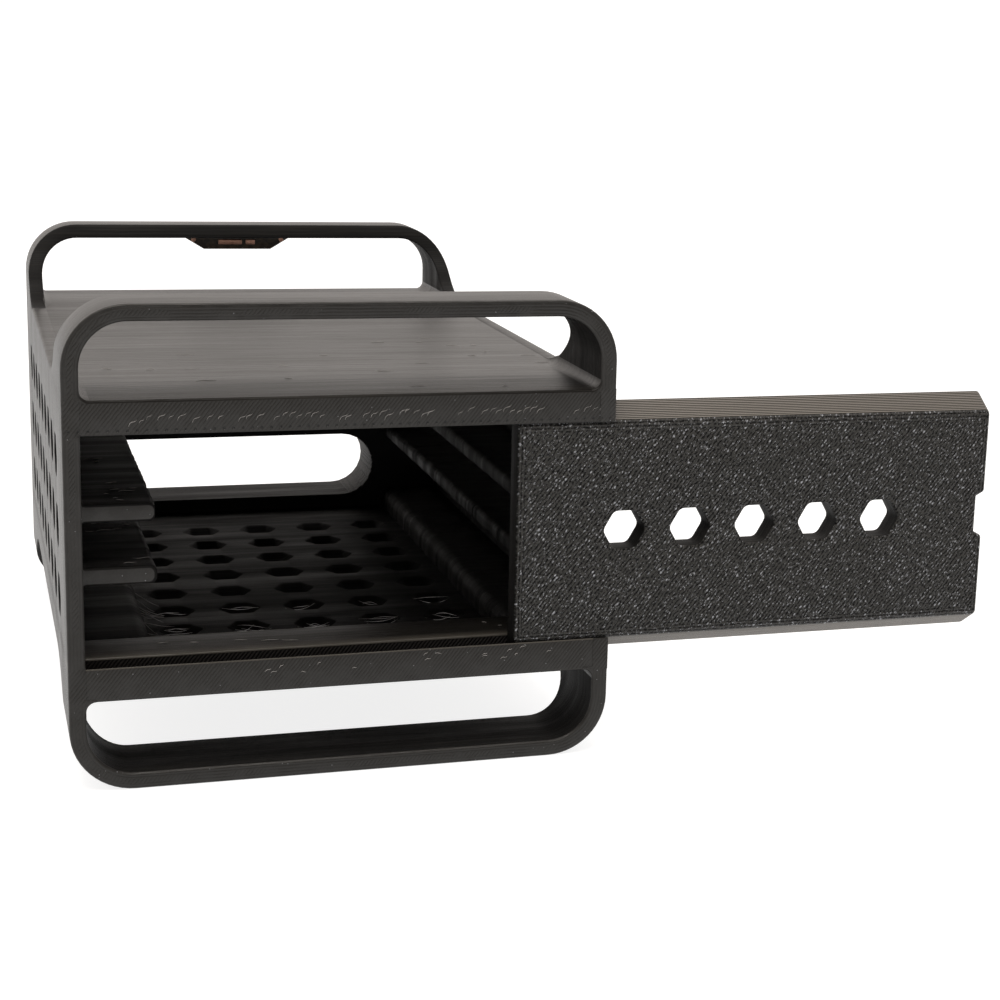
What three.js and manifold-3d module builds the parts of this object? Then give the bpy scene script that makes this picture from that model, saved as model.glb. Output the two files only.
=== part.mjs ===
// A hand-sized, 3-D printed case for a small computer board: a flat sleeve that stands on two
// looped feet, has two looped handles on top, shelf ledges down both sides, honeycomb vents and
// a dovetailed front door that slides out to the right.
// Millimetres. X runs to the right, Y from the front to the back, Z up from the feet.

import * as THREE from 'three';
import { mergeVertices } from 'three/addons/utils/BufferGeometryUtils.js';
import Module from 'manifold-3d';

const wasm = await Module();
wasm.setup();

// ---- Driving dimensions ----
const CASE_WIDTH = 75.4;
const CASE_HEIGHT = 66.2;
const CASE_DEPTH = 114;
const BAND = 2.3;              // thickness of the handles, the feet and the side walls
const LOOP_RADIUS = 8.6;       // outer corner of a handle or foot
const DECK = 12.6;             // height of the sleeve's underside above the feet
const SCOOP_RADIUS = 20;       // hollow cut between the front and rear loops
const SCOOP_START = 9.2;       // front loops' depth where the scoop would stand upright
const REAR_SCOOP_START = 5.6;  // the rear loops are shallower
const RIM_HEIGHT = 4.8;        // height of the frame around the floor and the top plate
const RIM_DEPTH = 13.5;        // front rim, front to back
const REAR_DEPTH = 11.6;       // rear wall thickness
const PLATE = 1.2;             // floor and top plate thickness
const SHELF_REACH = 10;        // how far ledges and steps stand in from the side walls
const LEDGE_THICKNESS = 2.5;
const LEDGE_HEIGHTS = [28.75, 37.45];
const STEP_ROUNDING = 2;
const GROOVE_DEPTH = 4.6;      // door groove, front to back
const GROOVE_FLARE = 3;        // how much deeper the groove cuts at its back
const DOOR_THICKNESS = 4.2;
const DOOR_LENGTH = 73.3;
const DOOR_GAP = 0.2;
const DOOR_OPEN = 59;          // how far the door stands open
const DOOR_HOLE_START = 16;    // first hole from the door's inner end
const NOTCH_DEPTH = 1.3;
const NOTCH_OUTER = 6.9;
const NOTCH_INNER = 5.5;
const HEX_FLATS = 5.6;         // honeycomb hole across its flats
const HEX_PITCH = 10;
const WALL_HOLE_START = 17.7;  // first column of holes from the front face
const WALL_HOLE_COLUMNS = 9;
const FLOOR_HOLE_START = 27.7;
const FLOOR_HOLE_ROWS = 7;
const WINDOW_LEFT = -29.6;     // the windows are set a little to the left
const WINDOW_RIGHT = 23.6;
const WINDOW_HEIGHT = 11.5;
const WINDOW_SILL = 16.2;
const TAB_DEPTH = 2;
const TAB_TOP_WIDTH = 20.8;
const TAB_BOTTOM_WIDTH = 12.2;
const TAB_HEIGHT = 2.6;
const INLAY_DEPTH = 0.4;
const STRIP_HEIGHT = 0.9;
const STRIP_DROP = 0.8;        // from the handle's underside down to the strips
const LONG_STRIP = [-3.5, 0.8];
const SHORT_STRIP = [1.5, 3.2];
const PIN_RADIUS = 0.45;
const PIN_DROP = 0.8;
const PIN_REACH = 8;           // from the middle of the tab out to each pin
const FOOT_CENTRE = 5.3;       // from the front face back to the middle of the front foot's base

// ---- Worked out from them ----
const SIDE = CASE_WIDTH / 2;
const INNER = SIDE - BAND;
const MIDDLE = CASE_HEIGHT / 2;
const TOP_DECK = CASE_HEIGHT - DECK;
const SHELF_TIP = INNER - SHELF_REACH;
const REAR_FACE = CASE_DEPTH - REAR_DEPTH;

// ---- Shapes and solids ----
const AXES = {
  xz: new THREE.Matrix4().makeBasis(
    new THREE.Vector3(1, 0, 0), new THREE.Vector3(0, 0, 1), new THREE.Vector3(0, -1, 0)),
  yz: new THREE.Matrix4().makeBasis(
    new THREE.Vector3(0, 1, 0), new THREE.Vector3(0, 0, 1), new THREE.Vector3(1, 0, 0)),
  xy: new THREE.Matrix4(),
};

// Coordinates are kept to a thousandth, so faces that meet share exactly the same plane.
function settle(geometry) {
  const position = geometry.getAttribute('position');
  for (let i = 0; i < position.count; i += 1) {
    for (let axis = 0; axis < 3; axis += 1) {
      position.setComponent(i, axis, Math.round(position.getComponent(i, axis) * 1000) / 1000);
    }
  }
  return geometry;
}

// Extrudes a flat outline lying in the named plane, from one depth to another across it.
function extrude(shape, plane, from, to) {
  const geometry = new THREE.ExtrudeGeometry(
    shape, { depth: to - from, bevelEnabled: false, curveSegments: 8 });
  geometry.applyMatrix4(AXES[plane]);
  const start = plane === 'xz' ? new THREE.Vector3(0, to, 0)
    : plane === 'yz' ? new THREE.Vector3(from, 0, 0)
      : new THREE.Vector3(0, 0, from);
  geometry.translate(start.x, start.y, start.z);
  return indexed(geometry);
}

function indexed(geometry) {
  geometry.deleteAttribute('normal');
  geometry.deleteAttribute('uv');
  return mergeVertices(settle(geometry), 1e-4);
}

function block(x0, x1, y0, y1, z0, z1) {
  const geometry = new THREE.BoxGeometry(x1 - x0, y1 - y0, z1 - z0);
  geometry.translate((x0 + x1) / 2, (y0 + y1) / 2, (z0 + z1) / 2);
  return indexed(geometry);
}

// Reflects a solid: along the given axis every coordinate becomes the sum minus itself.
function mirrored(geometry, axis, sum) {
  const result = geometry.clone();
  const position = result.getAttribute('position');
  for (let i = 0; i < position.count; i += 1) {
    position.setComponent(i, axis, sum - position.getComponent(i, axis));
  }
  const index = result.index.array;
  for (let i = 0; i < index.length; i += 3) {
    const second = index[i + 1];
    index[i + 1] = index[i + 2];
    index[i + 2] = second;
  }
  return settle(result);
}

const leftRight = (geometry) => mirrored(geometry, 0, 0);
const frontRear = (geometry) => mirrored(geometry, 1, CASE_DEPTH);
const topBottom = (geometry) => mirrored(geometry, 2, CASE_HEIGHT);

function toManifold(geometry) {
  return new wasm.Manifold(new wasm.Mesh({
    numProp: 3,
    vertProperties: new Float32Array(geometry.getAttribute('position').array),
    triVerts: new Uint32Array(geometry.index.array),
  }));
}

function fromManifold(solid) {
  const mesh = solid.getMesh();
  const geometry = new THREE.BufferGeometry();
  geometry.setAttribute('position', new THREE.BufferAttribute(mesh.vertProperties.slice(), 3));
  geometry.setIndex(new THREE.BufferAttribute(mesh.triVerts.slice(), 1));
  return settle(geometry);
}

function hexagon(x, y) {
  const path = new THREE.Path();
  const reach = HEX_FLATS / Math.sqrt(3);
  for (let corner = 0; corner < 6; corner += 1) {
    const angle = corner * Math.PI / 3;
    const px = x + reach * Math.cos(angle);
    const py = y + reach * Math.sin(angle);
    if (corner === 0) path.moveTo(px, py);
    else path.lineTo(px, py);
  }
  path.closePath();
  return path;
}

function outline(points) {
  return new THREE.Shape(points.map(([x, y]) => new THREE.Vector2(x, y)));
}

// ---- Handles and feet: a rounded band, cut to depth by the scoop ----
function loopGeometry(scoopStart) {
  const scoopEnd = scoopStart + SCOOP_RADIUS;
  const cx = SIDE - LOOP_RADIUS;
  const cz = CASE_HEIGHT - LOOP_RADIUS;
  const band = new THREE.Shape();
  band.moveTo(SIDE, TOP_DECK);
  band.absarc(cx, cz, LOOP_RADIUS, 0, Math.PI / 2, false);
  band.absarc(-cx, cz, LOOP_RADIUS, Math.PI / 2, Math.PI, false);
  band.lineTo(-SIDE, TOP_DECK);
  band.lineTo(-INNER, TOP_DECK);
  band.absarc(-cx, cz, LOOP_RADIUS - BAND, Math.PI, Math.PI / 2, true);
  band.absarc(cx, cz, LOOP_RADIUS - BAND, Math.PI / 2, 0, true);
  band.lineTo(INNER, TOP_DECK);

  const centre = TOP_DECK + SCOOP_RADIUS;
  const drop = centre - CASE_HEIGHT;
  const start = Math.PI + Math.asin(drop / SCOOP_RADIUS);
  const side = new THREE.Shape();
  side.moveTo(0, TOP_DECK);
  side.lineTo(scoopEnd, TOP_DECK);
  side.absarc(scoopEnd, centre, SCOOP_RADIUS, 1.5 * Math.PI, start, true);
  side.lineTo(0, CASE_HEIGHT);

  const bandSolid = toManifold(extrude(band, 'xz', 0, scoopEnd));
  const sideSolid = toManifold(extrude(side, 'yz', -SIDE, SIDE));
  return fromManifold(bandSolid.intersect(sideSolid));
}

// ---- Front rim: a lip in front of the door groove and a sill behind it ----
function lipGeometry() {
  const lip = outline([
    [0, DECK], [GROOVE_DEPTH, DECK],
    [GROOVE_DEPTH, DECK + RIM_HEIGHT - GROOVE_FLARE], [0, DECK + RIM_HEIGHT],
  ]);
  return extrude(lip, 'yz', -INNER, SIDE);
}

function sillGeometry() {
  return block(-INNER, INNER, GROOVE_DEPTH, RIM_DEPTH, DECK, DECK + RIM_HEIGHT);
}

// ---- Side walls with three rows of honeycomb holes ----
function wallGeometry(front, x0, x1) {
  const panel = outline([[front, DECK], [CASE_DEPTH, DECK], [CASE_DEPTH, TOP_DECK], [front, TOP_DECK]]);
  for (let row = -1; row <= 1; row += 1) {
    for (let column = 0; column < WALL_HOLE_COLUMNS; column += 1) {
      panel.holes.push(hexagon(WALL_HOLE_START + column * HEX_PITCH, MIDDLE + row * HEX_PITCH));
    }
  }
  return extrude(panel, 'yz', x0, x1);
}

// ---- Floor and top plate ----
function floorGeometry() {
  const panel = outline([[-INNER, RIM_DEPTH], [INNER, RIM_DEPTH], [INNER, REAR_FACE], [-INNER, REAR_FACE]]);
  for (let column = -2; column <= 2; column += 1) {
    for (let row = 0; row < FLOOR_HOLE_ROWS; row += 1) {
      panel.holes.push(hexagon(column * HEX_PITCH, FLOOR_HOLE_START + row * HEX_PITCH));
    }
  }
  return extrude(panel, 'xy', DECK, DECK + PLATE);
}

function topPlateGeometry() {
  return block(-INNER, INNER, RIM_DEPTH, REAR_FACE, TOP_DECK - PLATE, TOP_DECK);
}

// ---- Steps beside the floor, and ledges on the walls ----
function stepGeometry() {
  const low = DECK + PLATE;
  const high = DECK + RIM_HEIGHT;
  const section = new THREE.Shape();
  section.moveTo(INNER, low);
  section.lineTo(INNER, high);
  section.lineTo(SHELF_TIP + STEP_ROUNDING, high);
  section.absarc(SHELF_TIP + STEP_ROUNDING, high - STEP_ROUNDING, STEP_ROUNDING, Math.PI / 2, Math.PI, false);
  section.lineTo(SHELF_TIP, low);
  return extrude(section, 'xz', RIM_DEPTH, REAR_FACE);
}

function ledgeGeometry(height) {
  const radius = LEDGE_THICKNESS / 2;
  const section = new THREE.Shape();
  section.moveTo(INNER, height - radius);
  section.lineTo(INNER, height + radius);
  section.absarc(SHELF_TIP + radius, height, radius, Math.PI / 2, 1.5 * Math.PI, false);
  return extrude(section, 'xz', GROOVE_DEPTH, REAR_FACE);
}

// ---- Rear wall with an upper and a lower rounded window ----
function rearWallGeometry() {
  const panel = outline([[-INNER, DECK], [INNER, DECK], [INNER, TOP_DECK], [-INNER, TOP_DECK]]);
  const radius = WINDOW_HEIGHT / 2;
  for (const z of [WINDOW_SILL + radius, CASE_HEIGHT - WINDOW_SILL - radius]) {
    const window = new THREE.Path();
    window.moveTo(WINDOW_RIGHT - radius, z - radius);
    window.absarc(WINDOW_RIGHT - radius, z, radius, -Math.PI / 2, Math.PI / 2, false);
    window.absarc(WINDOW_LEFT + radius, z, radius, Math.PI / 2, 1.5 * Math.PI, false);
    window.closePath();
    panel.holes.push(window);
  }
  return extrude(panel, 'xz', REAR_FACE, CASE_DEPTH);
}

// ---- Tab hanging under the rear handle, with its inlaid strips and pins ----
const TAB_TOP = CASE_HEIGHT - BAND;
const TAB_FRONT = CASE_DEPTH - TAB_DEPTH;

function tabGeometry() {
  const face = outline([
    [-TAB_TOP_WIDTH / 2, TAB_TOP], [-TAB_BOTTOM_WIDTH / 2, TAB_TOP - TAB_HEIGHT],
    [TAB_BOTTOM_WIDTH / 2, TAB_TOP - TAB_HEIGHT], [TAB_TOP_WIDTH / 2, TAB_TOP],
  ]);
  return extrude(face, 'xz', TAB_FRONT, CASE_DEPTH);
}

function stripGeometry([x0, x1]) {
  const top = TAB_TOP - STRIP_DROP;
  return block(x0, x1, TAB_FRONT - INLAY_DEPTH, TAB_FRONT, top - STRIP_HEIGHT, top);
}

function pinGeometry(x) {
  const pin = new THREE.CylinderGeometry(PIN_RADIUS, PIN_RADIUS, INLAY_DEPTH, 12);
  pin.translate(x, TAB_FRONT - INLAY_DEPTH / 2, TAB_TOP - PIN_DROP);
  return indexed(pin);
}

// ---- Sliding door: dovetailed long edges, five holes and a finger notch ----
function doorGeometry() {
  const slope = GROOVE_FLARE / GROOVE_DEPTH;
  const front = DOOR_GAP;
  const back = DOOR_GAP + DOOR_THICKNESS;
  const edge = (y) => DECK + RIM_HEIGHT - slope * y + DOOR_GAP;
  const section = outline([
    [front, edge(front)], [back, edge(back)],
    [back, CASE_HEIGHT - edge(back)], [front, CASE_HEIGHT - edge(front)],
  ]);
  const left = -INNER + DOOR_GAP / 2 + DOOR_OPEN;
  const right = left + DOOR_LENGTH;
  let door = toManifold(extrude(section, 'yz', left, right));
  for (let hole = 0; hole < 5; hole += 1) {
    const ring = new THREE.Shape(hexagon(left + DOOR_HOLE_START + hole * HEX_PITCH, MIDDLE).getPoints());
    door = door.subtract(toManifold(extrude(ring, 'xz', -1, back + 1)));
  }
  const notch = outline([
    [right - NOTCH_DEPTH, MIDDLE - NOTCH_INNER / 2], [right + 1, MIDDLE - NOTCH_OUTER / 2],
    [right + 1, MIDDLE + NOTCH_OUTER / 2], [right - NOTCH_DEPTH, MIDDLE + NOTCH_INNER / 2],
  ]);
  door = door.subtract(toManifold(extrude(notch, 'xz', -1, back + 1)));
  return fromManifold(door);
}

// ---- The assembly ----
const caseBody = new THREE.Group();
caseBody.name = 'case_body';
const part = new THREE.Group();
part.name = 'board_case';
part.position.y = -FOOT_CENTRE;
part.add(caseBody);

function addPiece(parent, name, geometry, look) {
  const material = new THREE.MeshStandardMaterial(look);
  material.name = name;
  const mesh = new THREE.Mesh(geometry, material);
  mesh.name = name;
  parent.add(mesh);
}

const PLASTIC = { color: 0x2b2926, roughness: 0.5, metalness: 0 };
const COPPER = { color: 0x9a5a3c, roughness: 0.35, metalness: 0.9 };

const frontLoop = loopGeometry(SCOOP_START);
const rearLoop = frontRear(loopGeometry(REAR_SCOOP_START));
addPiece(caseBody, 'front_handle', frontLoop, PLASTIC);
addPiece(caseBody, 'rear_handle', rearLoop, PLASTIC);
addPiece(caseBody, 'front_foot', topBottom(frontLoop), PLASTIC);
addPiece(caseBody, 'rear_foot', topBottom(rearLoop), PLASTIC);

addPiece(caseBody, 'lower_lip', lipGeometry(), PLASTIC);
addPiece(caseBody, 'upper_lip', topBottom(lipGeometry()), PLASTIC);
addPiece(caseBody, 'lower_sill', sillGeometry(), PLASTIC);
addPiece(caseBody, 'upper_sill', topBottom(sillGeometry()), PLASTIC);

addPiece(caseBody, 'left_wall', wallGeometry(0, -SIDE, -INNER), PLASTIC);
addPiece(caseBody, 'right_wall', wallGeometry(GROOVE_DEPTH, INNER, SIDE), PLASTIC);
addPiece(caseBody, 'floor_plate', floorGeometry(), PLASTIC);
addPiece(caseBody, 'top_plate', topPlateGeometry(), PLASTIC);
addPiece(caseBody, 'rear_wall', rearWallGeometry(), PLASTIC);

const step = stepGeometry();
addPiece(caseBody, 'right_lower_step', step, PLASTIC);
addPiece(caseBody, 'left_lower_step', leftRight(step), PLASTIC);
addPiece(caseBody, 'right_upper_step', topBottom(step), PLASTIC);
addPiece(caseBody, 'left_upper_step', topBottom(leftRight(step)), PLASTIC);

LEDGE_HEIGHTS.forEach((height, i) => {
  const level = i === 0 ? 'lower' : 'upper';
  addPiece(caseBody, `right_${level}_ledge`, ledgeGeometry(height), PLASTIC);
  addPiece(caseBody, `left_${level}_ledge`, leftRight(ledgeGeometry(height)), PLASTIC);
});

addPiece(caseBody, 'handle_tab', tabGeometry(), PLASTIC);
addPiece(caseBody, 'long_strip', stripGeometry(LONG_STRIP), COPPER);
addPiece(caseBody, 'short_strip', stripGeometry(SHORT_STRIP), COPPER);
addPiece(caseBody, 'left_pin', pinGeometry(-PIN_REACH), COPPER);
addPiece(caseBody, 'right_pin', pinGeometry(PIN_REACH), COPPER);

addPiece(part, 'sliding_door', doorGeometry(), PLASTIC);

export default part;
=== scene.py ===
"""Looks of the small computer holder: a black 3-D printed case with a sliding front door.

Lengths are in metres, in the frame of the CAD model. X runs to the right, Y to the back, Z up.
"""

import math
import random

import bmesh
import bpy
from mathutils import Matrix, Vector
from mathutils.geometry import delaunay_2d_cdt


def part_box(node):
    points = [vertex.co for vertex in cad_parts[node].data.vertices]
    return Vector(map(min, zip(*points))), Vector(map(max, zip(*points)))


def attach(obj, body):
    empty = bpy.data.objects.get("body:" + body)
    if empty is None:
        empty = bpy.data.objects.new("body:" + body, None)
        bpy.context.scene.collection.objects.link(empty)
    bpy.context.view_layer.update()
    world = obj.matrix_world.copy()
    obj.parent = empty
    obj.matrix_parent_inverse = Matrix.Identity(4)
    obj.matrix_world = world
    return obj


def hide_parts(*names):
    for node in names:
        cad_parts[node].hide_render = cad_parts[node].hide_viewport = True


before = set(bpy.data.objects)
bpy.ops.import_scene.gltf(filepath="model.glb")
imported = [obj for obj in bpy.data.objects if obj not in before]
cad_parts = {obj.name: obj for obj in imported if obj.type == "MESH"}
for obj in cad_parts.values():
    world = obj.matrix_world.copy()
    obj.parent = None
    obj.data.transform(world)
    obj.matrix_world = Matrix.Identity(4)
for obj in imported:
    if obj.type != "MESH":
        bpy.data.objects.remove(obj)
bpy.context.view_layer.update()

MM = 0.001

# ---- Sizes read from the CAD model ----
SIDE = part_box("right_wall")[1].x                 # outer face of the right side wall
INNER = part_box("right_wall")[0].x                # its inner face
BAND = SIDE - INNER
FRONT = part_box("left_wall")[0].y
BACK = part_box("left_wall")[1].y
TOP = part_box("front_handle")[1].z
FLOOR_LOW, FLOOR_HIGH = (corner.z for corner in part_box("floor_plate"))
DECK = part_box("top_plate")[1].z                  # upper face of the top plate
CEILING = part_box("top_plate")[0].z
RIM_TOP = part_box("lower_sill")[1].z              # level of the sill behind the front opening
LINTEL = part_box("upper_sill")[0].z
GROOVE_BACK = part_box("lower_sill")[0].y
RIM_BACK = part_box("lower_sill")[1].y
REAR_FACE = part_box("rear_wall")[0].y
SHELF_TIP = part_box("right_lower_ledge")[0].x
FRONT_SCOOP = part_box("front_handle")[1].y - FRONT    # depth at which each scoop runs out on the deck
REAR_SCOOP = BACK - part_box("rear_handle")[0].y
MIDDLE = TOP / 2
DEPTH = BACK - FRONT

# ---- Sizes that the boxes don't give ----
LOOP_RADIUS = 8.6 * MM
SCOOP_RADIUS = 20 * MM
GROOVE_FLARE = 3 * MM
HEX_FLATS = 5.6 * MM
PITCH = 10 * MM
WALL_HOLE_START = 17.7 * MM                      # front face to the middle of the first hole
WALL_HOLE_COLUMNS = 9
FLOOR_HOLE_START = 27.7 * MM
FLOOR_HOLE_ROWS = 7
DOOR_HOLE_START = 16 * MM                        # left end of the door to the middle of its first hole
WINDOW_ENDS = (-29.6 * MM, 23.6 * MM)
WINDOW_SILL = 16.2 * MM
WINDOW_HEIGHT = 11.5 * MM
EDGE = 0.35 * MM                                 # rounding of the printed edges
FINE_EDGE = 0.18 * MM
LIP_EDGE = 0.15 * MM
FILLET = 1.35 * MM                               # hollow corner between a leg and the sleeve
FLOOR_HOLE_LEAN = 2.7 * MM                       # forward lean of the floor's holes, towards the underside
RAGGED = 0.22 * MM                               # how far a layer can stop short at a ledge's tip
HAIR_ROOM = 0.06 * MM                            # the rims' front faces stand back by this much
HIDDEN = 0.01 * MM                               # keeps a buried face off the one in front of it
ROUND_STEPS = 3
ARC_STEPS = 14

# The material index of a face. The inside and shaded materials are darker copies of the plastic: painted
# shade.
LAYERS, RINGS, INFILL, SHADED, INSIDE_PAINTED_SHADE, SPECKLED, EDGING, BROWN, COPPER, HAIR = range(10)


# ---- Mesh building ----
class Maker:
    """Collects the points and faces of one piece."""

    def __init__(self):
        self.points = []
        self.across = []
        self.faces = []
        self.kinds = []

    def point(self, place, across=0.0):
        self.points.append(tuple(place))
        self.across.append(across)
        return len(self.points) - 1

    def face(self, ids, kind):
        if len(set(ids)) > 2:
            self.faces.append(tuple(ids))
            self.kinds.append(kind)

    def build(self, name, materials):
        mesh = bpy.data.meshes.new(name)
        mesh.from_pydata(self.points, [], self.faces)
        line = mesh.attributes.new("across", "FLOAT", "POINT")
        line.data.foreach_set("value", self.across)
        mesh.polygons.foreach_set("material_index", self.kinds)
        for material in materials:
            mesh.materials.append(material)
        tidy_mesh(mesh)
        mesh.validate()
        piece = bpy.data.objects.new(name, mesh)
        bpy.context.scene.collection.objects.link(piece)
        return piece


def tidy_mesh(mesh):
    """Welds the mesh, turns its faces outwards and shades it smooth except at its sharp edges."""
    grid = bmesh.new()
    grid.from_mesh(mesh)
    bmesh.ops.remove_doubles(grid, verts=grid.verts, dist=0.002 * MM)
    bmesh.ops.dissolve_degenerate(grid, edges=grid.edges, dist=0.001 * MM)
    bmesh.ops.recalc_face_normals(grid, faces=grid.faces)
    for face in grid.faces:
        face.smooth = True
    for edge in grid.edges:
        edge.smooth = len(edge.link_faces) == 2 and edge.calc_face_angle(0.0) < math.radians(35)
    grid.to_mesh(mesh)
    grid.free()


class Outline:
    """A closed line around a slab's face or one of its holes, with the material on its left.

    near and far are the line's points on the two faces of the slab, near_round and far_round the
    rounding there, kinds the material of each edge's side wall, and open the edges without one.
    """

    def __init__(self, near, far=None, near_round=EDGE, far_round=EDGE, kinds=LAYERS, open_edges=()):
        count = len(near)
        self.near = [Vector(p) for p in near]
        self.far = [Vector(p) for p in (far or near)]
        self.near_round = near_round if isinstance(near_round, list) else [near_round] * count
        self.far_round = far_round if isinstance(far_round, list) else [far_round] * count
        self.kinds = kinds if isinstance(kinds, list) else [kinds] * count
        self.open_edges = set(open_edges)

    def inward(self, points):
        """At each point, the step into the material that moves both of its edges by one unit."""
        count = len(points)
        normals = []
        for i in range(count):
            along = points[(i + 1) % count] - points[i]
            length = along.length
            normals.append(Vector((-along.y, along.x)) / length if length > 1e-9 else None)
        steps = []
        for i in range(count):
            before = None if (i - 1) % count in self.open_edges else normals[i - 1]
            after = None if i in self.open_edges else normals[i]
            if before is None or after is None:
                steps.append(before or after or Vector((0, 0)))
            else:
                steps.append((before + after) / max(0.2, 1 + before.dot(after)))
        return steps


def inside(point, ring):
    """Whether a flat point lies within a closed ring of flat points."""
    result = False
    for i, a in enumerate(ring):
        b = ring[i - 1]
        if (a.y > point.y) != (b.y > point.y):
            if point.x < (b.x - a.x) * (point.y - a.y) / (b.y - a.y) + a.x:
                result = not result
    return result


def cap(maker, rings, ids, rungs, kind):
    """Fills the face bounded by the rings, keeping the rungs as edges."""
    flat, edges, names = [], [], []
    starts = []
    for ring, ring_ids in zip(rings, ids):
        starts.append(len(flat))
        count = len(ring)
        edges += [(len(flat) + i, len(flat) + (i + 1) % count) for i in range(count)]
        flat += ring
        names += ring_ids
    edges += [(starts[0] + a, starts[0] + b) for a, b in rungs]
    scale = 1000.0
    sliver = 1e-5
    found, _, triangles, origin, _, _ = delaunay_2d_cdt(
        [p * scale for p in flat], edges, [], 0, 1e-5)
    for triangle in triangles:
        a, b, c = (found[i] for i in triangle)
        if abs((b - a).cross(c - a)) < sliver:
            continue
        middle = (a + b + c) / (3 * scale)
        if inside(middle, rings[0]) and not any(inside(middle, ring) for ring in rings[1:]):
            maker.face([names[origin[i][0]] for i in triangle], kind)


def slab(maker, outlines, depth, place, near_kind=LAYERS, far_kind=LAYERS, rungs=(), near_wraps=False):
    """Adds a slab with rounded edges. place(u, v, t) puts a flat point at depth t into space.

    With near_wraps the near face's material runs on over its rounded edges.
    """
    near_rings, far_rings, near_ids, far_ids = [], [], [], []
    for outline in outlines:
        near_in = outline.inward(outline.near)
        far_in = outline.inward(outline.far)
        columns = []
        near_ring, far_ring = [], []
        for i in range(len(outline.near)):
            column = []
            steps = [math.pi / 2 * (1 - k / ROUND_STEPS) for k in range(ROUND_STEPS + 1)]
            for side, angles in (("near", steps), ("far", steps[::-1])):
                radius = outline.near_round[i] if side == "near" else outline.far_round[i]
                for angle in angles:
                    sunk = radius * (1 - math.sin(angle))
                    t = sunk if side == "near" else depth - sunk
                    blend = t / depth
                    base = outline.near[i].lerp(outline.far[i], blend)
                    step = near_in[i].lerp(far_in[i], blend)
                    flat = base + step * radius * (1 - math.cos(angle))
                    column.append((flat, t))
            near_ring.append(column[0][0])
            far_ring.append(column[-1][0])
            columns.append([maker.point(place(p.x, p.y, t), t) for p, t in column])
        for i, column in enumerate(columns):
            if i in outline.open_edges:
                continue
            following = columns[(i + 1) % len(columns)]
            for k in range(len(column) - 1):
                kind = near_kind if k < ROUND_STEPS and near_wraps else outline.kinds[i]
                maker.face((column[k], column[k + 1], following[k + 1], following[k]), kind)
        near_rings.append(near_ring)
        far_rings.append(far_ring)
        near_ids.append([column[0] for column in columns])
        far_ids.append([column[-1] for column in columns])
    cap(maker, near_rings, near_ids, rungs, near_kind)
    cap(maker, far_rings, far_ids, rungs, far_kind)


def arc(cx, cy, radius, start, end, steps):
    """Points along an arc, angles in degrees."""
    return [(cx + radius * math.cos(math.radians(start + (end - start) * k / steps)),
             cy + radius * math.sin(math.radians(start + (end - start) * k / steps)))
            for k in range(steps + 1)]


def rounded(corners, steps=3):
    """A polygon from (x, y, radius) corners, each rounded by its own radius."""
    points = []
    count = len(corners)
    for i, (x, y, radius) in enumerate(corners):
        here = Vector((x, y))
        if radius <= 0:
            points.append((x, y))
            continue
        to_last = (Vector(corners[i - 1][:2]) - here).normalized()
        to_next = (Vector(corners[(i + 1) % count][:2]) - here).normalized()
        half = to_last.angle(to_next) / 2
        reach = radius / math.tan(half)
        start, end = here + to_last * reach, here + to_next * reach
        centre = here + (to_last + to_next).normalized() * (radius / math.sin(half))
        first = math.atan2(start.y - centre.y, start.x - centre.x)
        sweep = math.atan2(end.y - centre.y, end.x - centre.x) - first
        sweep = (sweep + math.pi) % (2 * math.pi) - math.pi
        for k in range(steps + 1):
            angle = first + sweep * k / steps
            points.append((centre.x + radius * math.cos(angle), centre.y + radius * math.sin(angle)))
    return points


def rectangle(x0, y0, x1, y1, radius=0.0):
    return rounded([(x0, y0, radius), (x1, y0, radius), (x1, y1, radius), (x0, y1, radius)])


def hexagon(x, y, edge=FINE_EDGE, corner=0.6 * MM):
    """A honeycomb hole with points towards either side, its corners a little round."""
    reach = HEX_FLATS / math.sqrt(3)
    corners = [(x + reach * math.cos(-k * math.pi / 3), y + reach * math.sin(-k * math.pi / 3), corner)
               for k in range(6)]
    return Outline(rounded(corners), near_round=edge, far_round=edge)


# ---- Ways to lay a flat point in space ----
def across_y(start, forward=1):
    """Flat points are (x, z); depth runs along Y from start."""
    return lambda u, v, t: (u, start + forward * t, v)


def across_x(start):
    return lambda u, v, t: (start + t, u, v)


def across_z(start):
    return lambda u, v, t: (u, v, start + t)


# ---- The shell: handles, feet and side walls are one band, bent round four corners ----
def loop_levels():
    """Distances along the half loop at which the band starts and stops bending."""
    bar = SIDE - LOOP_RADIUS
    quarter = LOOP_RADIUS * math.pi / 2
    first = bar + quarter
    second = first + TOP - 2 * LOOP_RADIUS
    return bar, first, second, second + quarter, second + quarter + bar


def on_loop(s, t, mirror):
    """The point at distance s along the half loop, t deep in the band, as (x, z)."""
    bar, first, second, third, _ = loop_levels()
    radius = LOOP_RADIUS - t
    if s < bar:
        x, z = s, t
    elif s < first:
        angle = (s - bar) / LOOP_RADIUS
        x, z = bar + radius * math.sin(angle), LOOP_RADIUS - radius * math.cos(angle)
    elif s < second:
        x, z = SIDE - t, LOOP_RADIUS + s - first
    elif s < third:
        angle = (s - second) / LOOP_RADIUS
        x, z = bar + radius * math.cos(angle), TOP - LOOP_RADIUS + radius * math.sin(angle)
    else:
        x, z = bar - (s - third), TOP - t
    return mirror * x, z


def scoop(z, end):
    """How deep a loop is at height z, where its scoop runs out at depth end."""
    height = max(z, TOP - z) - DECK
    rise = SCOOP_RADIUS - height
    return end - math.sqrt(max(0.0, SCOOP_RADIUS ** 2 - rise ** 2))


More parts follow.
